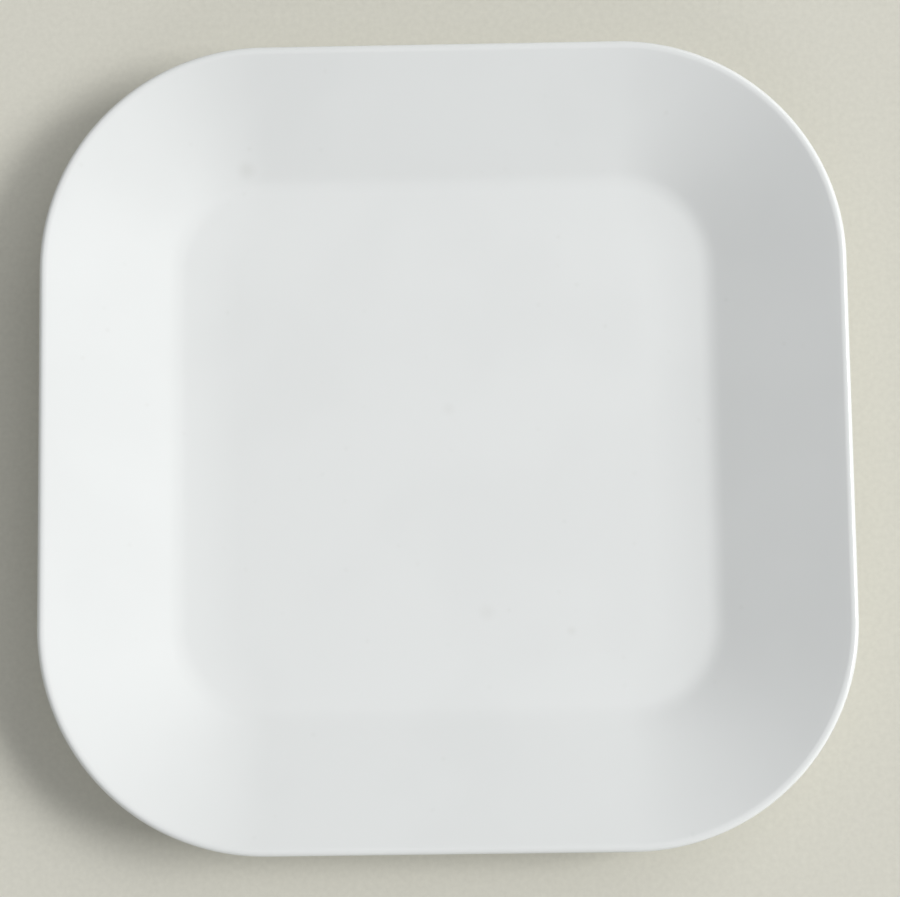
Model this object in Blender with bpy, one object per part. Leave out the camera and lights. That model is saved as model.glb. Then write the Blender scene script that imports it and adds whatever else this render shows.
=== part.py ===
"""Salad plate of glazed porcelain: square with round corners, a flat well, a straight wall and a foot ring.

The plate's section is drawn once, as a line with rounded corners that runs from the well out over the lip
and back under to the base. The section is carried straight along each side and spun round each corner, so
the wall has one width and one slope all the way round.

The line is the glazed surface. The glaze is a thin skin below it, in two areas that the bare foot ring parts:
the face with the outside, and the base inside the ring. The porcelain body fills what is left.

Metres, +Z up. The origin is on the table, under the middle of the plate.
"""

import math

import bmesh
import bpy
from mathutils import Matrix, Vector

# Overall sizes
PLATE_WIDTH = 0.203  # across the rim, from side to side
PLATE_HEIGHT = 0.0185  # from the table to the top of the lip

# Well and wall
WALL_RUN = 0.0335  # seen from above, from the rim to the line where the wall would meet the well
WELL_CORNER_RADIUS = 0.023  # of that line; the rim's corners have the same centres
CREASE_RADIUS = 0.020  # of the hollow between well and wall
WELL_EDGE_WIDTH = 0.009  # of the well's edge, which rises gently to the crease
WELL_EDGE_RISE = 0.0008  # of that edge at the crease
WELL_EDGE_RADIUS = 0.14  # of the hollow where the rise begins
BASE_THICKNESS = 0.0045
WALL_THICKNESS = 0.004  # square to the wall
HEEL_RADIUS = 0.010  # under the wall, where it turns level towards the foot

# Lip
LIP_WIDTH = 0.0018  # level top of the lip, before its edges are rounded
LIP_INNER_RADIUS = 0.003
LIP_OUTER_RADIUS = 0.00125
LIP_UNDER_RADIUS = 0.0018

# Foot ring
FOOT_HEIGHT = 0.0022  # from the table to the base
FOOT_WIDTH = 0.0036  # across the ring where it stands
FOOT_SETBACK = 0.005  # seen from below, from the heel in to the ring
FOOT_DRAFT = math.radians(15)  # lean of the ring's sides
FOOT_EDGE_RADIUS = 0.0005
FOOT_ROOT_RADIUS = 0.0015

# Glaze
GLAZE_THICKNESS = 0.0003
GLAZE_PARTING = 0.0003  # thin space under the glaze that keeps it and the body apart as solids
GLAZE_LINE = 0.0007  # height above the table at which the glaze stops on the ring's sides

# Facets
CHORD_ERROR = 0.00003  # most that a facet cuts inside a rounded edge
LEAST_FACETS = 2  # round any edge
CORNER_FACETS = 12  # round each corner of the plate
WELD_DISTANCE = 0.000001
SHARP_ANGLE = math.radians(40)

# Colours as linear red, green, blue and alpha
GLAZE_COLOUR = (0.85, 0.86, 0.85, 1.0)
GLAZE_ROUGHNESS = 0.15
PORCELAIN_COLOUR = (0.76, 0.73, 0.67, 1.0)
PORCELAIN_ROUGHNESS = 0.6

SIDES = 4
QUARTER_TURN = math.radians(90)
UP = Vector((0.0, 0.0, 1.0))

# Worked out from the sizes above. A place in the section is (distance from the plate's middle, height).
RIM = PLATE_WIDTH / 2
CORE = RIM - WALL_RUN - WELL_CORNER_RADIUS  # half of a side's straight length; the corner centres are there
WELL_HEIGHT = FOOT_HEIGHT + BASE_THICKNESS
SKIN = GLAZE_THICKNESS + GLAZE_PARTING


def rounded_line(corners):
    """Places along a line of straight runs with rounded corners, each with the direction out of the plate.

    Each corner is (place, radius), and the line runs with the plate on its right. Radii too large for the
    runs between them are limited to what fits.
    """
    places = [place for place, radius in corners]
    runs = [after - before for before, after in zip(places, places[1:])]
    turns = [-before.angle_signed(after) for before, after in zip(runs, runs[1:])]
    reaches = [radius * math.tan(abs(turn) / 2) for (place, radius), turn in zip(corners[1:-1], turns)]
    reaches = [0.0] + reaches + [0.0]
    for index, run in enumerate(runs):
        fit = min(1.0, run.length / (reaches[index] + reaches[index + 1]))
        reaches[index] *= fit
        reaches[index + 1] *= fit

    line = [(places[0], outward(runs[0]))]
    for place, before, turn, reach in zip(places[1:-1], runs, turns, reaches[1:-1]):
        start = place - before.normalized() * reach
        bend = math.copysign(reach / math.tan(abs(turn) / 2), turn)
        centre = start + outward(before) * bend
        facet_angle = 2 * math.acos(1 - CHORD_ERROR / max(abs(bend), CHORD_ERROR))
        facets = max(LEAST_FACETS, math.ceil(abs(turn) / facet_angle))
        for step in range(facets + 1):
            normal = Matrix.Rotation(turn * step / facets, 2) @ outward(before)
            line.append((centre - normal * bend, normal))
    line.append((places[-1], outward(runs[-1])))
    return line


def outward(run):
    """The direction square to a run of the section, away from the plate."""
    return Vector((-run.y, run.x)).normalized()


def plate_line():
    """The glazed surface in section, from the well over the lip and round the foot to the base.

    The foot is bare, so there the line passes one skin outside the porcelain, below the table.
    """
    crease = Vector((RIM - WALL_RUN, WELL_HEIGHT + WELL_EDGE_RISE))
    lip_inner = Vector((RIM - LIP_WIDTH, PLATE_HEIGHT))
    slope = lip_inner - crease
    gradient = slope.y / slope.x
    upright_thickness = WALL_THICKNESS * slope.length / slope.x
    lip_under = Vector((RIM, PLATE_HEIGHT + LIP_WIDTH * gradient - upright_thickness))
    wall_foot = crease.x - (crease.y - FOOT_HEIGHT - upright_thickness) / gradient
    heel = Vector((wall_foot, FOOT_HEIGHT))

    skin_across = SKIN * (1 - math.sin(FOOT_DRAFT)) / math.cos(FOOT_DRAFT)
    lean = (FOOT_HEIGHT + SKIN) * math.tan(FOOT_DRAFT)
    foot_outer = heel.x - FOOT_SETBACK + skin_across
    foot_inner = heel.x - FOOT_SETBACK - FOOT_WIDTH - skin_across
    return rounded_line(
        [
            (Vector((CORE, WELL_HEIGHT)), 0.0),
            (Vector((crease.x - WELL_EDGE_WIDTH, WELL_HEIGHT)), WELL_EDGE_RADIUS),
            (crease, CREASE_RADIUS),
            (lip_inner, LIP_INNER_RADIUS),
            (Vector((RIM, PLATE_HEIGHT)), LIP_OUTER_RADIUS),
            (lip_under, LIP_UNDER_RADIUS),
            (heel, HEEL_RADIUS),
            (Vector((foot_outer + lean, FOOT_HEIGHT)), FOOT_ROOT_RADIUS),
            (Vector((foot_outer, -SKIN)), FOOT_EDGE_RADIUS + SKIN),
            (Vector((foot_inner, -SKIN)), FOOT_EDGE_RADIUS + SKIN),
            (Vector((foot_inner - lean, FOOT_HEIGHT)), FOOT_ROOT_RADIUS),
            (Vector((CORE, FOOT_HEIGHT)), 0.0),
        ]
    )


def at_height(first, second, height):
    """The place and direction where the section passes a height, between two of its points."""
    share = (height - first[0].y) / (second[0].y - first[0].y)
    return first[0].lerp(second[0], share), first[1].lerp(second[1], share).normalized()


def glazed_lines(line):
    """The two stretches of the section that are glazed, each from the plate's middle out to the bare foot."""
    bare = [index for index, (place, normal) in enumerate(line) if place.y < GLAZE_LINE]
    first, last = bare[0], bare[-1]
    face_line = line[:first] + [at_height(line[first - 1], line[first], GLAZE_LINE)]
    base_line = line[:last:-1] + [at_height(line[last], line[last + 1], GLAZE_LINE)]
    return face_line, base_line


def inside(line, depth):
    """The section's places moved into the plate by a depth."""
    return [place - normal * depth for place, normal in line]


def skin_section(line):
    """The outline of a glaze skin: along its outer face, and back along its inner face."""
    return inside(line, 0.0) + inside(line, GLAZE_THICKNESS)[::-1]


def carry_round_plate(name, section):
    """A closed mesh made by carrying a section along the sides and round the corners of the plate."""
    shape = bmesh.new()
    points = [shape.verts.new((place.x, -CORE, place.y)) for place in section]
    edges = [shape.edges.new(pair) for pair in zip(points, points[1:])]
    end = points + edges
    for side in range(SIDES):
        turned = Matrix.Rotation(QUARTER_TURN * side, 3, UP)
        along_side = bmesh.ops.spin(
            shape,
            geom=end,
            axis=UP,
            dvec=turned @ Vector((0.0, 2 * CORE, 0.0)),
            angle=0.0,
            steps=1,
        )
        round_corner = bmesh.ops.spin(
            shape,
            geom=along_side["geom_last"],
            cent=turned @ Vector((CORE, CORE, 0.0)),
            axis=UP,
            angle=QUARTER_TURN,
            steps=CORNER_FACETS,
        )
        end = round_corner["geom_last"]
    bmesh.ops.remove_doubles(shape, verts=shape.verts[:], dist=WELD_DISTANCE)
    bmesh.ops.holes_fill(shape, edges=[edge for edge in shape.edges if edge.is_boundary], sides=SIDES)
    bmesh.ops.recalc_face_normals(shape, faces=shape.faces[:])
    mesh = bpy.data.meshes.new(name)
    shape.to_mesh(mesh)
    shape.free()
    mesh.shade_smooth()
    mesh.set_sharp_from_angle(angle=SHARP_ANGLE)
    return mesh


def surface(name, colour, roughness):
    """A plain opaque material."""
    material = bpy.data.materials.new(name)
    material.use_nodes = True
    shader = material.node_tree.nodes["Principled BSDF"]
    shader.inputs["Base Color"].default_value = colour
    shader.inputs["Roughness"].default_value = roughness
    shader.inputs["Metallic"].default_value = 0.0
    return material


def add_piece(name, section, material, parent):
    """One piece of the plate, made from its section."""
    mesh = carry_round_plate(name, section)
    mesh.materials.append(material)
    piece = bpy.data.objects.new(name, mesh)
    piece.parent = parent
    bpy.context.scene.collection.objects.link(piece)


def main():
    for old in list(bpy.data.objects):
        bpy.data.objects.remove(old)

    plate = bpy.data.objects.new("salad_plate", None)
    bpy.context.scene.collection.objects.link(plate)

    line = plate_line()
    face_line, base_line = glazed_lines(line)
    porcelain = surface("fired_porcelain", PORCELAIN_COLOUR, PORCELAIN_ROUGHNESS)
    face_white = surface("white_face_glaze", GLAZE_COLOUR, GLAZE_ROUGHNESS)
    base_white = surface("white_base_glaze", GLAZE_COLOUR, GLAZE_ROUGHNESS)
    add_piece("porcelain_body", inside(line, SKIN), porcelain, plate)
    add_piece("face_glaze", skin_section(face_line), face_white, plate)
    add_piece("base_glaze", skin_section(base_line), base_white, plate)


main()
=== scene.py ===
"""Salad plate: the finished surfaces of a square porcelain plate, on a plain studio table.

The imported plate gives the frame. Its glaze and its porcelain are made again here as fine surfaces of the same
sizes, and each gets its finish. Metres, +Z up, with the origin on the table under the middle of the plate.
"""

import math

import bpy
import numpy as np
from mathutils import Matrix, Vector


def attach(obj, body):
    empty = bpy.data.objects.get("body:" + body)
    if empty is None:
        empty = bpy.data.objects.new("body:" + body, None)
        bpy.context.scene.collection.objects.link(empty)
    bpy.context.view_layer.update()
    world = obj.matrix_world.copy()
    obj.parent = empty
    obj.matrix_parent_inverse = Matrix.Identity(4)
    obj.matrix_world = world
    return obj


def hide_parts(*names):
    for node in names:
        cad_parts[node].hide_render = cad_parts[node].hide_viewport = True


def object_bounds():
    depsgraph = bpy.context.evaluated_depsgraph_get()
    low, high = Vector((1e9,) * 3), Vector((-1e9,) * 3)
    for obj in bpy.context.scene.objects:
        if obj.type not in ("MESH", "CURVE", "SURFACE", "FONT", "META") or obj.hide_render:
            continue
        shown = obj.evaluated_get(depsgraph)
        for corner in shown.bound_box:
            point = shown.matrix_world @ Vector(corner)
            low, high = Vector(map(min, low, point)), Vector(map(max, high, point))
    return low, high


bl_info = {
    "name": "Salad plate",
    "version": (1, 0, 0),
    "blender": (4, 5, 0),
    "location": "View3D > Sidebar > Plate",
    "description": "Makes a square glazed porcelain salad plate and a studio table to see it on",
    "category": "Add Mesh",
}

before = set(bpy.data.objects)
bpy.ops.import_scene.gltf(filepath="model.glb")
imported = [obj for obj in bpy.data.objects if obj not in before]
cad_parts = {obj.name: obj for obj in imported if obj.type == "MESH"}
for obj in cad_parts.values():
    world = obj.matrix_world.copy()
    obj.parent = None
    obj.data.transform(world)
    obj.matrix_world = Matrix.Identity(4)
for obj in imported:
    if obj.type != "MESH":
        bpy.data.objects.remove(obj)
CAD_LOW, CAD_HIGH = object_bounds()

# Facets of the fine surfaces
CHORD_ERROR = 0.000002  # most that a facet cuts inside a rounded edge, in metres
LEAST_FACETS = 6  # round any edge of the section
RUN_FACETS = 12  # along each straight run of the section
RUN_MARGIN = 0.04  # share of a straight run, next to a rounded edge, that stays free of points
FLAT_RINGS = 16  # from the middle of the well or base to its edge
CORNER_FACETS = 44  # round each corner of the plate
SIDE_FACETS = 16  # along each straight side
CORNERS = 4

# Waves of the firing warp round the plate: how many, their phase, and their share of the whole
WARP_WAVES = np.array([2, 3, 5])
WARP_PHASES = np.array([0.7, 2.1, 4.4])
WARP_SHARES = np.array([0.5, 0.3, 0.2])

# Marks of the firing in the glaze of the face: place and radius in metres, and how strongly each one shows
FIRING_MARKS = (
    ((-0.0502, 0.0719, 0.0083), 0.0034, 0.29),
    ((0.0100, -0.0425, 0.0067), 0.0031, 0.16),
    ((0.0010, 0.0094, 0.0067), 0.0025, 0.13),
    ((0.0312, -0.0474, 0.0067), 0.0018, 0.19),
)

# Lamps: direction round from +X towards +Y and up from the table, width and height in metres, and watts
LAMPS = {
    "key": ((math.radians(2), math.radians(37)), (2.6, 1.9), 244.0),
    "side": ((math.radians(35), math.radians(35)), (7.0, 3.4), 112.0),
    "front": ((math.radians(-90), math.radians(35)), (4.4, 2.1), 36.0),
    "top": ((math.radians(90), math.radians(88)), (3.2, 3.2), 11.5),
}

# Typical values of the materials; a pair of roughnesses is for the glossier and the duller places
GLAZE_IOR = 1.52
GLAZE_ROUGHNESS = (0.08, 0.14)
PORCELAIN_IOR = 1.5
PORCELAIN_ROUGHNESS = (0.5, 0.72)
CARD_ROUGHNESS = 0.9

# Stretch of a texture's values over which its effect grows from nothing to full
DRIFT_RANGE = (0.4, 0.65)
SPECK_RANGE = (0.55, 0.75)
RUB_RANGE = (0.45, 0.75)

# Finer layers of noise added to each texture
DRIFT_DETAIL = 2.0
WAVE_DETAIL = 0.0
PEEL_DETAIL = 1.0
GRAIN_DETAIL = 3.0
RUB_DETAIL = 4.0
FIBRE_DETAIL = 3.0

# Sockets of a Mix node that mixes colours
MIX_FACTOR, MIX_FIRST, MIX_SECOND, MIX_RESULT = 0, 6, 7, 2


class PlateSizes(bpy.types.PropertyGroup):
    """Sizes of the plate. The sides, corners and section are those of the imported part."""

    width: bpy.props.FloatProperty(
        name="Width",
        description="Across the rim, from side to side",
        default=CAD_HIGH.x - CAD_LOW.x,
        unit="LENGTH",
    )
    height: bpy.props.FloatProperty(
        name="Height",
        description="From the table to the top of the lip",
        default=CAD_HIGH.z,
        unit="LENGTH",
    )
    wall_run: bpy.props.FloatProperty(
        name="Wall run",
        description="Seen from above, from the rim to the line where the wall would meet the well",
        default=0.0335,
        unit="LENGTH",
    )
    well_corner_radius: bpy.props.FloatProperty(
        name="Well corner radius",
        description="Corner radius of that line; the rim's corners have the same centres",
        default=0.023,
        unit="LENGTH",
    )
    crease_radius: bpy.props.FloatProperty(
        name="Crease radius",
        description="Of the hollow between well and wall",
        default=0.020,
        unit="LENGTH",
    )
    well_edge_width: bpy.props.FloatProperty(
        name="Well edge width",
        description="Of the well's edge, which rises gently to the crease",
        default=0.009,
        unit="LENGTH",
    )
    well_edge_rise: bpy.props.FloatProperty(
        name="Well edge rise",
        description="Of that edge at the crease",
        default=0.0008,
        unit="LENGTH",
    )
    well_edge_radius: bpy.props.FloatProperty(
        name="Well edge radius",
        description="Of the hollow where the rise begins",
        default=0.14,
        unit="LENGTH",
    )
    base_thickness: bpy.props.FloatProperty(
        name="Base thickness",
        description="From the base to the well",
        default=0.0045,
        unit="LENGTH",
    )
    wall_thickness: bpy.props.FloatProperty(
        name="Wall thickness",
        description="Square to the wall",
        default=0.004,
        unit="LENGTH",
    )
    heel_radius: bpy.props.FloatProperty(
        name="Heel radius",
        description="Under the wall, where it turns level towards the foot",
        default=0.010,
        unit="LENGTH",
    )
    lip_width: bpy.props.FloatProperty(
        name="Lip width",
        description="Level top of the lip, before its edges are rounded",
        default=0.0018,
        unit="LENGTH",
    )
    lip_inner_radius: bpy.props.FloatProperty(
        name="Lip inner radius",
        description="Where the wall rolls over into the lip",
        default=0.003,
        unit="LENGTH",
    )
    lip_outer_radius: bpy.props.FloatProperty(
        name="Lip outer radius",
        description="Of the lip's upper outer edge",
        default=0.00125,
        unit="LENGTH",
    )
    lip_under_radius: bpy.props.FloatProperty(
        name="Lip under radius",
        description="Of the lip's lower outer edge",
        default=0.0018,
        unit="LENGTH",
    )
    foot_height: bpy.props.FloatProperty(
        name="Foot height",
        description="From the table to the base",
        default=0.0022,
        unit="LENGTH",
    )
    foot_width: bpy.props.FloatProperty(
        name="Foot width",
        description="Across the ring where it stands",
        default=0.0036,
        unit="LENGTH",
    )
    foot_setback: bpy.props.FloatProperty(
        name="Foot setback",
        description="Seen from below, from the heel in to the ring",
        default=0.005,
        unit="LENGTH",
    )
    foot_draft: bpy.props.FloatProperty(
        name="Foot draft",
        description="Lean of the ring's sides",
        default=math.radians(15),
        subtype="ANGLE",
    )
    foot_edge_radius: bpy.props.FloatProperty(
        name="Foot edge radius",
        description="Of the ring's two lower edges",
        default=0.0005,
        unit="LENGTH",
    )
    foot_root_radius: bpy.props.FloatProperty(
        name="Foot root radius",
        description="Of the hollows where the ring meets the base",
        default=0.0015,
        unit="LENGTH",
    )
    glaze_depth: bpy.props.FloatProperty(
        name="Glaze depth",
        description="From the glazed surface down to the porcelain",
        default=0.0006,
        unit="LENGTH",
    )
    glaze_thickness: bpy.props.FloatProperty(
        name="Glaze thickness",
        description="Of the glaze itself, a hair less than its depth so that it and the porcelain stay apart",
        default=0.00056,
        unit="LENGTH",
    )
    glaze_line: bpy.props.FloatProperty(
        name="Glaze line",
        description="Height above the table at which the glaze stops on the ring's sides",
        default=0.0007,
        unit="LENGTH",
    )
    firing_warp: bpy.props.FloatProperty(
        name="Firing warp",
        description="Most that the rim has sunk in the kiln, in long waves round the plate",
        default=0.00012,
        unit="LENGTH",
    )


class PlateFinish(bpy.types.PropertyGroup):
    """Colours and textures of the plate."""

    glaze_colour: bpy.props.StringProperty(
        name="Glaze",
        description="Glazed white, as sRGB hex",
        default="E9EBEA",
    )
    thick_glaze_colour: bpy.props.StringProperty(
        name="Thick glaze",
        description="The same white where the glaze lies a little thicker, as sRGB hex",
        default="E7E9E8",
    )
    speck_colour: bpy.props.StringProperty(
        name="Speck",
        description="Specks and marks that show through the glaze, as sRGB hex",
        default="CFD0CB",
    )
    porcelain_colour: bpy.props.StringProperty(
        name="Porcelain",
        description="Bare fired porcelain of the foot, as sRGB hex",
        default="E0DBD0",
    )
    rub_colour: bpy.props.StringProperty(
        name="Rub",
        description="Bare porcelain that shelves and tables have rubbed grey, as sRGB hex",
        default="C6C1B7",
    )
    drift_size: bpy.props.FloatProperty(
        name="Drift size",
        description="Size of the patches of thicker glaze",
        default=0.040,
        unit="LENGTH",
    )
    peel_size: bpy.props.FloatProperty(
        name="Peel size",
        description="Size of the dimples in the glaze's surface",
        default=0.0030,
        unit="LENGTH",
    )
    peel_depth: bpy.props.FloatProperty(
        name="Peel depth",
        description="Depth of the dimples",
        default=0.000006,
        precision=6,
        unit="LENGTH",
    )
    wave_size: bpy.props.FloatProperty(
        name="Wave size",
        description="Size of the slow waves in the glaze's surface",
        default=0.022,
        unit="LENGTH",
    )
    wave_depth: bpy.props.FloatProperty(
        name="Wave depth",
        description="Depth of the slow waves",
        default=0.000014,
        precision=6,
        unit="LENGTH",
    )
    speck_spacing: bpy.props.FloatProperty(
        name="Speck spacing",
        description="Size of the cells that may hold a speck",
        default=0.006,
        unit="LENGTH",
    )
    speck_radius: bpy.props.FloatProperty(
        name="Speck radius",
        description="Of a speck, to where it has faded out",
        default=0.0010,
        unit="LENGTH",
    )
    speck_strength: bpy.props.FloatProperty(
        name="Speck strength",
        description="How far a speck's middle takes the speck's colour",
        default=0.14,
        subtype="FACTOR",
    )
    pit_depth: bpy.props.FloatProperty(
        name="Pit depth",
        description="How far the glaze sinks at a speck",
        default=0.000008,
        precision=6,
        unit="LENGTH",
    )
    grain_size: bpy.props.FloatProperty(
        name="Grain size",
        description="Grain of the bare porcelain",
        default=0.0003,
        precision=4,
        unit="LENGTH",
    )
    grain_depth: bpy.props.FloatProperty(
        name="Grain depth",
        description="Depth of that grain",
        default=0.00002,
        precision=6,
        unit="LENGTH",
    )
    rub_size: bpy.props.FloatProperty(
        name="Rub size",
        description="Size of the rubbed patches on the foot",
        default=0.006,
        unit="LENGTH",
    )


class PlateStudio(bpy.types.PropertyGroup):
    """Camera, table and light."""

    camera_place: bpy.props.FloatVectorProperty(
        name="Camera",
        description="Where the camera stands",
        default=(0.00786, -0.05252, 0.51300),
        subtype="TRANSLATION",
    )
    camera_turn: bpy.props.FloatVectorProperty(
        name="Camera turn",
        description="Turn of the camera from looking straight down",
        default=(math.radians(5.82), math.radians(0.83), math.radians(-0.79)),
        subtype="EULER",
    )
    lens: bpy.props.FloatProperty(
        name="Lens",
        description="Focal length on the sensor",
        default=80.0,
        subtype="DISTANCE_CAMERA",
    )
    sensor: bpy.props.FloatProperty(
        name="Sensor",
        description="Width of the sensor",
        default=36.0,
        subtype="DISTANCE_CAMERA",
    )
    lamp_distance: bpy.props.FloatProperty(
        name="Lamp distance",
        description="From the plate to each lamp, far enough for the light to be even over the table",
        default=6.0,
        unit="LENGTH",
    )
    sky: bpy.props.FloatProperty(
        name="Sky",
        description="Strength of the even light from all round",
        default=0.298,
    )
    sky_colour: bpy.props.StringProperty(
        name="Sky colour",
        description="Of that light, which is a little cooler than the lamps, as sRGB hex",
        default="FAFCFF",
    )
    backdrop_colour: bpy.props.StringProperty(
        name="Backdrop",
        description="What the camera and the glaze's reflections see beyond the table, as sRGB hex",
        default="D6D4C8",
    )
    fade_start: bpy.props.FloatProperty(
        name="Fade start",
        description="How far from the plate the table begins to fade into the backdrop",
        default=0.3,
        unit="LENGTH",
    )
    fade_end: bpy.props.FloatProperty(
        name="Fade end",
        description="How far from the plate the table looks like the backdrop",
        default=1.2,
        unit="LENGTH",
    )
    table_size: bpy.props.FloatProperty(
        name="Table size",
        description="Width and length of the table",
        default=40.0,
        unit="LENGTH",
    )
    table_colour: bpy.props.StringProperty(
        name="Table",
        description="Pale card under the plate, as sRGB hex",
        default="D1CFC3",
    )
    fibre_colour: bpy.props.StringProperty(
        name="Fibre",
        description="Paler fibres in the card, as sRGB hex",
        default="DFDDD1",
    )
    fibre_size: bpy.props.FloatProperty(
        name="Fibre size",
        description="Grain of the card",
        default=0.0014,
        precision=4,
        unit="LENGTH",
    )


def linear(hex_colour):
    """Linear red, green, blue and alpha of an sRGB hex colour, by the sRGB standard's own formula."""
    shares = np.array([int(hex_colour[start : start + 2], 16) for start in (0, 2, 4)]) / 255
    low = shares / 12.92
    high = ((shares + 0.055) / 1.055) ** 2.4
    return (*np.where(shares <= 0.04045, low, high), 1.0)


def add_node(tree, kind, inputs, **settings):
    """Adds a node with its settings, and fills its inputs with values or links from other nodes' outputs."""
    node = tree.nodes.new(kind)
    for name, value in settings.items():
        setattr(node, name, value)
    for socket, value in inputs.items():
        if isinstance(value, bpy.types.NodeSocket):
            tree.links.new(value, node.inputs[socket])
        else:
            node.inputs[socket].default_value = value
    return node


def new_material(name):
    """A node material with no nodes yet, its tree, and the place on the object as texture coordinates."""
    material = bpy.data.materials.new(name)
    material.use_nodes = True
    tree = material.node_tree
    tree.nodes.clear()
    place = add_node(tree, "ShaderNodeTexCoord", {}).outputs["Object"]
    return material, tree, place


def finish_material(tree, shader):
    """Puts a shader's only output on the surface."""
    add_node(tree, "ShaderNodeOutputMaterial", {"Surface": shader.outputs[0]})


def seen_rays(tree):
    """1 for a ray from the camera, a reflection or a clear material, and 0 for one that brings light."""
    rays = add_node(tree, "ShaderNodeLightPath", {}).outputs
    clear = add_node(
        tree,
        "ShaderNodeMath",
        {0: rays["Is Glossy Ray"], 1: rays["Is Transmission Ray"]},
        operation="MAXIMUM",
    ).outputs["Value"]
    return add_node(
        tree, "ShaderNodeMath", {0: rays["Is Camera Ray"], 1: clear}, operation="MAXIMUM"
    ).outputs["Value"]


def white_glaze(finish):
    """Clear glaze over white porcelain, dipped and fired.

    It is glossy and almost even. Seen close, its white drifts a little where the glaze lies thicker, its
    surface has faint dimples over slow waves, and a few specks and firing marks sit in it as shallow pits.
    """
    name = "fired_white_glaze"
    if name in bpy.data.materials:
        return bpy.data.materials[name]
    material, tree, place = new_material(name)

    # White that is a little darker in patches
    drift = add_node(
        tree,
        "ShaderNodeTexNoise",
        {"Vector": place, "Scale": 1 / finish.drift_size, "Detail": DRIFT_DETAIL},
    ).outputs["Fac"]
    patches = add_node(
        tree,
        "ShaderNodeMapRange",
        {"Value": drift, "From Min": DRIFT_RANGE[0], "From Max": DRIFT_RANGE[1]},
        interpolation_type="SMOOTHSTEP",
    ).outputs["Result"]
    white = add_node(
        tree,
        "ShaderNodeMix",
        {
            MIX_FACTOR: patches,
            MIX_FIRST: linear(finish.glaze_colour),
            MIX_SECOND: linear(finish.thick_glaze_colour),
        },
        data_type="RGBA",
    ).outputs[MIX_RESULT]

    # Specks in a few of the cells, and the firing marks
    cells = add_node(tree, "ShaderNodeTexVoronoi", {"Vector": place, "Scale": 1 / finish.speck_spacing})
    chosen = add_node(
        tree,
        "ShaderNodeMapRange",
        {
            "Value": cells.outputs["Color"],
            "From Min": SPECK_RANGE[0],
            "From Max": SPECK_RANGE[1],
            "To Max": finish.speck_strength,
        },
    ).outputs["Result"]
    marks = add_node(
        tree,
        "ShaderNodeMapRange",
        {
            "Value": cells.outputs["Distance"],
            "From Min": 0.0,
            "From Max": finish.speck_radius / finish.speck_spacing,
            "To Min": chosen,
            "To Max": 0.0,
        },
        interpolation_type="SMOOTHSTEP",
    ).outputs["Result"]
    for mark_place, radius, strength in FIRING_MARKS:
        distance = add_node(
            tree, "ShaderNodeVectorMath", {0: place, 1: mark_place}, operation="DISTANCE"
        ).outputs["Value"]
        mark = add_node(
            tree,
            "ShaderNodeMapRange",
            {"Value": distance, "From Min": 0.0, "From Max": radius, "To Min": strength, "To Max": 0.0},
            interpolation_type="SMOOTHSTEP",
        ).outputs["Result"]
        marks = add_node(tree, "ShaderNodeMath", {0: marks, 1: mark}, operation="MAXIMUM").outputs["Value"]
    colour = add_node(
        tree,
        "ShaderNodeMix",
        {MIX_FACTOR: marks, MIX_FIRST: white, MIX_SECOND: linear(finish.speck_colour)},
        data_type="RGBA",
    ).outputs[MIX_RESULT]

    # Slow waves, dimples and pits
    waves = add_node(
        tree,
        "ShaderNodeTexNoise",
        {"Vector": place, "Scale": 1 / finish.wave_size, "Detail": WAVE_DETAIL},
    )
    peel = add_node(
        tree,
        "ShaderNodeTexNoise",
        {"Vector": place, "Scale": 1 / finish.peel_size, "Detail": PEEL_DETAIL},
    )
    waved = add_node(
        tree, "ShaderNodeBump", {"Height": waves.outputs["Fac"], "Distance": finish.wave_depth}
    ).outputs["Normal"]
    dimpled = add_node(
        tree,
        "ShaderNodeBump",
        {"Height": peel.outputs["Fac"], "Distance": finish.peel_depth, "Normal": waved},
    ).outputs["Normal"]
    pitted = add_node(
        tree,
        "ShaderNodeBump",
        {"Height": marks, "Distance": finish.pit_depth, "Normal": dimpled},
        invert=True,
    ).outputs["Normal"]

    # A gloss that is a little duller where the glaze is thicker
    roughness = add_node(
        tree,
        "ShaderNodeMapRange",
        {"Value": drift, "To Min": GLAZE_ROUGHNESS[0], "To Max": GLAZE_ROUGHNESS[1]},
    ).outputs["Result"]
    shader = add_node(
        tree,
        "ShaderNodeBsdfPrincipled",
        {"Base Color": colour, "Roughness": roughness, "IOR": GLAZE_IOR, "Normal": pitted},
    )
    finish_material(tree, shader)
    return material


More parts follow.
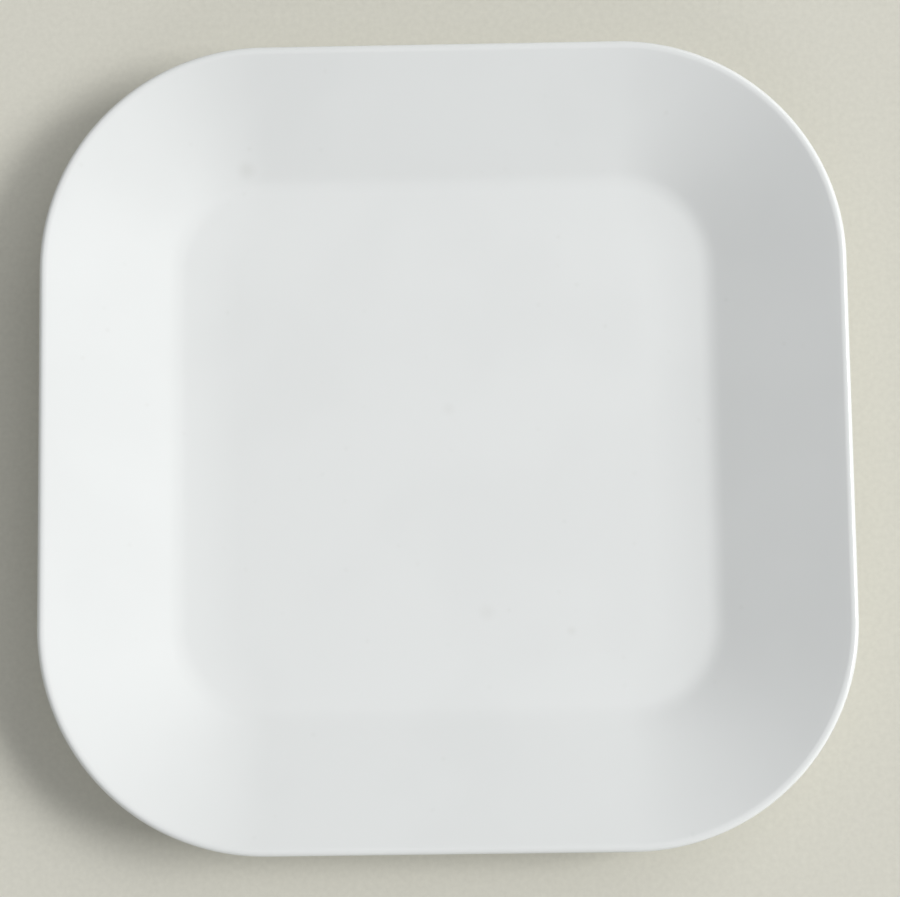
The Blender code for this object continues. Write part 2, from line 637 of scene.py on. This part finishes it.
def bare_porcelain(finish):
    """Fired porcelain, wiped clean of glaze.

    It is warm, dull and slightly gritty, and it is rubbed grey in patches where the plate has stood.
    """
    material, tree, place = new_material("bare_fired_porcelain")
    grain = add_node(
        tree,
        "ShaderNodeTexNoise",
        {"Vector": place, "Scale": 1 / finish.grain_size, "Detail": GRAIN_DETAIL},
    ).outputs["Fac"]
    rubbing = add_node(
        tree,
        "ShaderNodeTexNoise",
        {"Vector": place, "Scale": 1 / finish.rub_size, "Detail": RUB_DETAIL},
    ).outputs["Fac"]
    rubbed = add_node(
        tree,
        "ShaderNodeMapRange",
        {"Value": rubbing, "From Min": RUB_RANGE[0], "From Max": RUB_RANGE[1]},
        interpolation_type="SMOOTHSTEP",
    ).outputs["Result"]
    colour = add_node(
        tree,
        "ShaderNodeMix",
        {
            MIX_FACTOR: rubbed,
            MIX_FIRST: linear(finish.porcelain_colour),
            MIX_SECOND: linear(finish.rub_colour),
        },
        data_type="RGBA",
    ).outputs[MIX_RESULT]
    roughness = add_node(
        tree,
        "ShaderNodeMapRange",
        {"Value": rubbed, "To Min": PORCELAIN_ROUGHNESS[1], "To Max": PORCELAIN_ROUGHNESS[0]},
    ).outputs["Result"]
    gritty = add_node(
        tree, "ShaderNodeBump", {"Height": grain, "Distance": finish.grain_depth}
    ).outputs["Normal"]
    shader = add_node(
        tree,
        "ShaderNodeBsdfPrincipled",
        {"Base Color": colour, "Roughness": roughness, "IOR": PORCELAIN_IOR, "Normal": gritty},
    )
    finish_material(tree, shader)
    return material


def table_card(studio):
    """Plain pale card, dull, with a fine grain of paler fibres.

    Far from the plate it is lit less, and there it fades into the backdrop, so that no edge shows behind.
    """
    material, tree, place = new_material("table_card")
    fibres = add_node(
        tree,
        "ShaderNodeTexNoise",
        {"Vector": place, "Scale": 1 / studio.fibre_size, "Detail": FIBRE_DETAIL},
    ).outputs["Fac"]
    colour = add_node(
        tree,
        "ShaderNodeMix",
        {
            MIX_FACTOR: fibres,
            MIX_FIRST: linear(studio.table_colour),
            MIX_SECOND: linear(studio.fibre_colour),
        },
        data_type="RGBA",
    ).outputs[MIX_RESULT]
    card = add_node(tree, "ShaderNodeBsdfPrincipled", {"Base Color": colour, "Roughness": CARD_ROUGHNESS})
    distance = add_node(tree, "ShaderNodeVectorMath", {0: place}, operation="LENGTH").outputs["Value"]
    fading = add_node(
        tree,
        "ShaderNodeMapRange",
        {"Value": distance, "From Min": studio.fade_start, "From Max": studio.fade_end},
        interpolation_type="SMOOTHSTEP",
    ).outputs["Result"]
    faded = add_node(
        tree, "ShaderNodeMath", {0: fading, 1: seen_rays(tree)}, operation="MULTIPLY"
    ).outputs["Value"]
    backdrop = add_node(tree, "ShaderNodeEmission", {"Color": linear(studio.backdrop_colour)})
    shader = add_node(
        tree,
        "ShaderNodeMixShader",
        {0: faded, 1: card.outputs["BSDF"], 2: backdrop.outputs["Emission"]},
    )
    finish_material(tree, shader)
    return material


def outward(run):
    """The direction square to a run of the section, away from the plate."""
    turned = np.array([-run[1], run[0]])
    return turned / np.linalg.norm(turned)


def rounded_line(corners):
    """Places along a line of straight runs with rounded corners, and the direction out of the plate at each.

    Each corner is (place, radius), and the line runs with the plate on its right. An arc's points are its
    centre less the outward direction times the signed radius, where that direction turns evenly from run to
    run. Straight runs get evenly spaced points between their arcs.
    """
    spots = np.array([place for place, radius in corners])
    runs = np.diff(spots, axis=0)
    lengths = np.linalg.norm(runs, axis=1)
    headings = np.arctan2(runs[:, 1], runs[:, 0])
    turns = (np.diff(headings) + np.pi) % (2 * np.pi) - np.pi
    radii = np.array([radius for place, radius in corners[1:-1]])
    reaches = np.concatenate([[0.0], radii * np.tan(np.abs(turns) / 2), [0.0]])
    for index, length in enumerate(lengths):
        fit = min(1.0, length / (reaches[index] + reaches[index + 1]))
        reaches[index : index + 2] *= fit

    places = [spots[:1]]
    normals = [outward(runs[0])[None]]
    for index, turn in enumerate(turns):
        before = runs[index]
        reach = reaches[index + 1]
        bend = math.copysign(reach / math.tan(abs(turn) / 2), turn)
        start = spots[index + 1] - before / lengths[index] * reach
        gap_start = places[-1][-1]
        shares = np.linspace(RUN_MARGIN, 1 - RUN_MARGIN, RUN_FACETS)[:, None]
        places.append(gap_start + (start - gap_start) * shares)
        normals.append(np.repeat(outward(before)[None], RUN_FACETS, axis=0))
        facet_angle = 2 * math.acos(1 - CHORD_ERROR / max(abs(bend), CHORD_ERROR))
        facets = max(LEAST_FACETS, math.ceil(abs(turn) / facet_angle))
        angles = headings[index] + math.pi / 2 + turn * np.linspace(0.0, 1.0, facets + 1)
        arc_normals = np.stack([np.cos(angles), np.sin(angles)], axis=1)
        places.append(start + outward(before) * bend - arc_normals * bend)
        normals.append(arc_normals)
    places.append(spots[-1:])
    normals.append(outward(runs[-1])[None])
    return np.concatenate(places), np.concatenate(normals)


def plate_line(sizes):
    """The glazed surface in section: (distance out from the corner centres, height), and outward directions.

    It runs from the well over the lip and round the foot to the base. The foot is bare, so there the line
    passes one glaze depth outside the porcelain, below the table.
    """
    rim = sizes.wall_run + sizes.well_corner_radius
    well_height = sizes.foot_height + sizes.base_thickness
    crease = (rim - sizes.wall_run, well_height + sizes.well_edge_rise)
    lip_inner = (rim - sizes.lip_width, sizes.height)
    slope = np.subtract(lip_inner, crease)
    gradient = slope[1] / slope[0]
    upright_thickness = sizes.wall_thickness * math.hypot(*slope) / slope[0]
    lip_under = (rim, sizes.height + sizes.lip_width * gradient - upright_thickness)
    wall_foot = crease[0] - (crease[1] - sizes.foot_height - upright_thickness) / gradient
    heel = (wall_foot, sizes.foot_height)

    depth = sizes.glaze_depth
    depth_across = depth * (1 - math.sin(sizes.foot_draft)) / math.cos(sizes.foot_draft)
    lean = (sizes.foot_height + depth) * math.tan(sizes.foot_draft)
    foot_outer = heel[0] - sizes.foot_setback + depth_across
    foot_inner = heel[0] - sizes.foot_setback - sizes.foot_width - depth_across
    foot_edge = sizes.foot_edge_radius + depth
    return rounded_line(
        [
            ((0.0, well_height), 0.0),
            ((crease[0] - sizes.well_edge_width, well_height), sizes.well_edge_radius),
            (crease, sizes.crease_radius),
            (lip_inner, sizes.lip_inner_radius),
            ((rim, sizes.height), sizes.lip_outer_radius),
            (lip_under, sizes.lip_under_radius),
            (heel, sizes.heel_radius),
            ((foot_outer + lean, sizes.foot_height), sizes.foot_root_radius),
            ((foot_outer, -depth), foot_edge),
            ((foot_inner, -depth), foot_edge),
            ((foot_inner - lean, sizes.foot_height), sizes.foot_root_radius),
            ((0.0, sizes.foot_height), 0.0),
        ]
    )


def plan_path(sizes):
    """Corner centres and outward directions along the plate's plan, once round.

    A parameter runs from 0 to 4, a whole number at the start of each corner. In the first half of each unit
    the direction turns a quarter turn about the corner's centre, and in the second half the centre slides
    along the side to the next corner.
    """
    core = sizes.width / 2 - sizes.wall_run - sizes.well_corner_radius
    turning = np.linspace(0.0, 1.0, CORNER_FACETS, endpoint=False)
    sliding = np.linspace(0.0, 1.0, SIDE_FACETS, endpoint=False)
    turn_share = np.concatenate([turning, np.ones(SIDE_FACETS)])
    slide_share = np.concatenate([np.zeros(CORNER_FACETS), sliding])
    quarter = np.repeat(np.arange(CORNERS), CORNER_FACETS + SIDE_FACETS)
    angles = (quarter + np.tile(turn_share, CORNERS)) * math.pi / 2
    directions = np.stack([np.cos(angles), np.sin(angles)], axis=1)
    signs = np.array([(1, 1), (-1, 1), (-1, -1), (1, -1)]) * core
    slide = np.tile(slide_share, CORNERS)[:, None]
    centres = signs[quarter] * (1 - slide) + signs[(quarter + 1) % CORNERS] * slide
    return centres, directions


def sunk(plan, distances, sizes):
    """How far each point has sunk in the kiln.

    The depth is a sum of waves in the direction from the plate's middle, each one less a cosine, so none
    rises. It grows with the square of the distance up the wall, from nothing at the well and the foot.
    """
    direction = np.arctan2(plan[..., 1], plan[..., 0])[..., None]
    waves = (WARP_SHARES * (1 - np.cos(WARP_WAVES * direction - WARP_PHASES)) / 2).sum(axis=-1)
    up_wall = np.clip((distances - sizes.well_corner_radius) / sizes.wall_run, 0.0, 1.0)
    return sizes.firing_warp * waves * up_wall[:, None] ** 2


def carry_round(section, sizes):
    """A closed surface made by carrying a section round the plate's plan.

    Point (i, j) is the corner centre j plus direction j times the section's distance i, at the section's
    height i less what it has sunk. The section's two ends are drawn in to the middle, where they close in a
    point.
    """
    centres, directions = plan_path(sizes)
    around = len(centres)
    shares = np.linspace(0.0, 1.0, FLAT_RINGS, endpoint=False)[1:]
    share = np.concatenate([shares, np.ones(len(section)), shares[::-1]])
    first = np.repeat(section[:1], FLAT_RINGS - 1, axis=0)
    last = np.repeat(section[-1:], FLAT_RINGS - 1, axis=0)
    rings = np.concatenate([first, section, last])
    plan = share[:, None, None] * (centres[None] + rings[:, 0, None, None] * directions[None])
    heights = rings[:, 1, None] - sunk(plan, rings[:, 0], sizes)
    points = np.concatenate([plan, heights[..., None]], axis=2).reshape(-1, 3)
    poles = np.array([(0.0, 0.0, section[0, 1]), (0.0, 0.0, section[-1, 1])])

    index = np.arange(len(points)).reshape(-1, around)
    after = np.roll(index, -1, axis=1)
    quads = np.stack([index[:-1], index[1:], after[1:], after[:-1]], axis=2).reshape(-1, 4)
    top, bottom = len(points), len(points) + 1
    top_fan = np.stack([np.full(around, top), index[0], after[0]], axis=1)
    bottom_fan = np.stack([np.full(around, bottom), after[-1], index[-1]], axis=1)
    faces = quads.tolist() + top_fan.tolist() + bottom_fan.tolist()
    return np.concatenate([points, poles]), faces


def add_piece(name, surface, material, node):
    """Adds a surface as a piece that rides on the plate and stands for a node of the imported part."""
    points, faces = surface
    mesh = bpy.data.meshes.new(name)
    mesh.from_pydata(points, [], faces)
    mesh.shade_smooth()
    mesh.materials.append(material)
    piece = bpy.data.objects.new(name, mesh)
    bpy.context.scene.collection.objects.link(piece)
    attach(piece, "root")
    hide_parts(node)


def glazed_stretches(sizes):
    """The section's two stretches above the glaze line, each from the plate's middle out to the bare foot."""
    places, normals = plate_line(sizes)
    bare = np.flatnonzero(places[:, 1] < sizes.glaze_line)
    first, last = bare[0], bare[-1]
    face = places[:first], normals[:first]
    base = places[:last:-1], normals[:last:-1]
    return face, base


def skin(places, normals, thickness):
    """The outline of a glaze skin: along its outer face, round its rolled edge, and back along the inner one.

    The edge is a half circle from the outer face to the inner one, about the point half the thickness below
    the outer face's last place.
    """
    centre = places[-1] - normals[-1] * thickness / 2
    onward = places[-1] - places[-2]
    onward = onward - normals[-1] * (onward @ normals[-1])
    onward = onward / np.linalg.norm(onward)
    angles = np.linspace(0.0, math.pi, 2 * LEAST_FACETS + 1)[1:-1, None]
    edge = centre + (normals[-1] * np.cos(angles) + onward * np.sin(angles)) * thickness / 2
    return np.concatenate([places, edge, (places - normals * thickness)[::-1]])


class PLATE_OT_glazed_face(bpy.types.Operator):
    """Make the glazed face, lip and outside of the plate"""

    bl_idname = "plate.glazed_face"
    bl_label = "Glazed face"

    def execute(self, context):
        sizes = context.scene.plate_sizes
        face, base = glazed_stretches(sizes)
        surface = carry_round(skin(*face, sizes.glaze_thickness), sizes)
        material = white_glaze(context.scene.plate_finish)
        add_piece("glazed_face", surface, material, "face_glaze")
        return {"FINISHED"}


class PLATE_OT_glazed_base(bpy.types.Operator):
    """Make the glazed base inside the foot ring"""

    bl_idname = "plate.glazed_base"
    bl_label = "Glazed base"

    def execute(self, context):
        sizes = context.scene.plate_sizes
        face, base = glazed_stretches(sizes)
        surface = carry_round(skin(*base, sizes.glaze_thickness), sizes)
        material = white_glaze(context.scene.plate_finish)
        add_piece("glazed_base", surface, material, "base_glaze")
        return {"FINISHED"}


class PLATE_OT_porcelain(bpy.types.Operator):
    """Make the porcelain under the glaze, bare on the foot ring"""

    bl_idname = "plate.porcelain"
    bl_label = "Porcelain"

    def execute(self, context):
        sizes = context.scene.plate_sizes
        places, normals = plate_line(sizes)
        surface = carry_round(places - normals * sizes.glaze_depth, sizes)
        material = bare_porcelain(context.scene.plate_finish)
        add_piece("porcelain", surface, material, "porcelain_body")
        return {"FINISHED"}


def add_table(studio):
    """Adds the table, level with the plate's foot."""
    half = studio.table_size / 2
    corners = [(-half, -half, 0.0), (half, -half, 0.0), (half, half, 0.0), (-half, half, 0.0)]
    mesh = bpy.data.meshes.new("table")
    mesh.from_pydata(corners, [], [range(len(corners))])
    mesh.materials.append(table_card(studio))
    table = bpy.data.objects.new("table", mesh)
    bpy.context.scene.collection.objects.link(table)


def add_lamp(name, direction, distance, size, power):
    """Adds a soft rectangular lamp that faces the plate and is itself out of the picture."""
    azimuth, elevation = direction
    lamp = bpy.data.lights.new(name, "AREA")
    lamp.shape = "RECTANGLE"
    lamp.size, lamp.size_y = size
    lamp.energy = power
    level = math.cos(elevation)
    away = Vector((level * math.cos(azimuth), level * math.sin(azimuth), math.sin(elevation)))
    holder = bpy.data.objects.new(name, lamp)
    holder.location = away * distance
    holder.rotation_euler = away.to_track_quat("Z", "Y").to_euler()
    holder.visible_camera = False
    bpy.context.scene.collection.objects.link(holder)


def studio_world(studio):
    """An even light from all round, in front of a pale backdrop that only the camera and reflections see."""
    world = bpy.data.worlds.new("studio")
    world.use_nodes = True
    tree = world.node_tree
    tree.nodes.clear()
    sky = add_node(
        tree, "ShaderNodeBackground", {"Color": linear(studio.sky_colour), "Strength": studio.sky}
    )
    backdrop = add_node(tree, "ShaderNodeBackground", {"Color": linear(studio.backdrop_colour)})
    mixed = add_node(
        tree,
        "ShaderNodeMixShader",
        {0: seen_rays(tree), 1: sky.outputs["Background"], 2: backdrop.outputs["Background"]},
    )
    add_node(tree, "ShaderNodeOutputWorld", {"Surface": mixed.outputs["Shader"]})
    return world


class PLATE_OT_studio(bpy.types.Operator):
    """Make the table, the light and the camera"""

    bl_idname = "plate.studio"
    bl_label = "Studio"

    def execute(self, context):
        scene = context.scene
        studio = scene.plate_studio
        add_table(studio)
        for name, (direction, size, power) in LAMPS.items():
            add_lamp(name, direction, studio.lamp_distance, size, power)

        scene.world = studio_world(studio)

        camera_data = bpy.data.cameras.new("camera")
        camera_data.lens = studio.lens
        camera_data.sensor_width = studio.sensor
        camera = bpy.data.objects.new("camera", camera_data)
        camera.location = studio.camera_place
        camera.rotation_euler = studio.camera_turn
        scene.collection.objects.link(camera)
        scene.camera = camera
        scene.view_settings.view_transform = "Standard"
        return {"FINISHED"}


class PLATE_PT_sidebar(bpy.types.Panel):
    """Lists the plate's steps in the sidebar of the 3D view"""

    bl_idname = "PLATE_PT_sidebar"
    bl_label = "Salad plate"
    bl_space_type = "VIEW_3D"
    bl_region_type = "UI"
    bl_category = "Plate"

    def draw(self, context):
        for operator in OPERATORS:
            self.layout.operator(operator.bl_idname)
        for group in (context.scene.plate_sizes, context.scene.plate_finish, context.scene.plate_studio):
            for name in group.__annotations__:
                self.layout.prop(group, name)


OPERATORS = (PLATE_OT_glazed_face, PLATE_OT_glazed_base, PLATE_OT_porcelain, PLATE_OT_studio)
GROUPS = {"plate_sizes": PlateSizes, "plate_finish": PlateFinish, "plate_studio": PlateStudio}


def register():
    """Registers the settings, steps and panel."""
    for name, group in GROUPS.items():
        bpy.utils.register_class(group)
        setattr(bpy.types.Scene, name, bpy.props.PointerProperty(type=group))
    for made in (*OPERATORS, PLATE_PT_sidebar):
        bpy.utils.register_class(made)


def unregister():
    """Takes out what register added."""
    for made in (PLATE_PT_sidebar, *reversed(OPERATORS)):
        bpy.utils.unregister_class(made)
    for name, group in GROUPS.items():
        delattr(bpy.types.Scene, name)
        bpy.utils.unregister_class(group)


def main():
    """Makes the plate and its studio."""
    register()
    bpy.ops.plate.porcelain()
    bpy.ops.plate.glazed_base()
    bpy.ops.plate.glazed_face()
    bpy.ops.plate.studio()


if __name__ == "__main__":
    main()
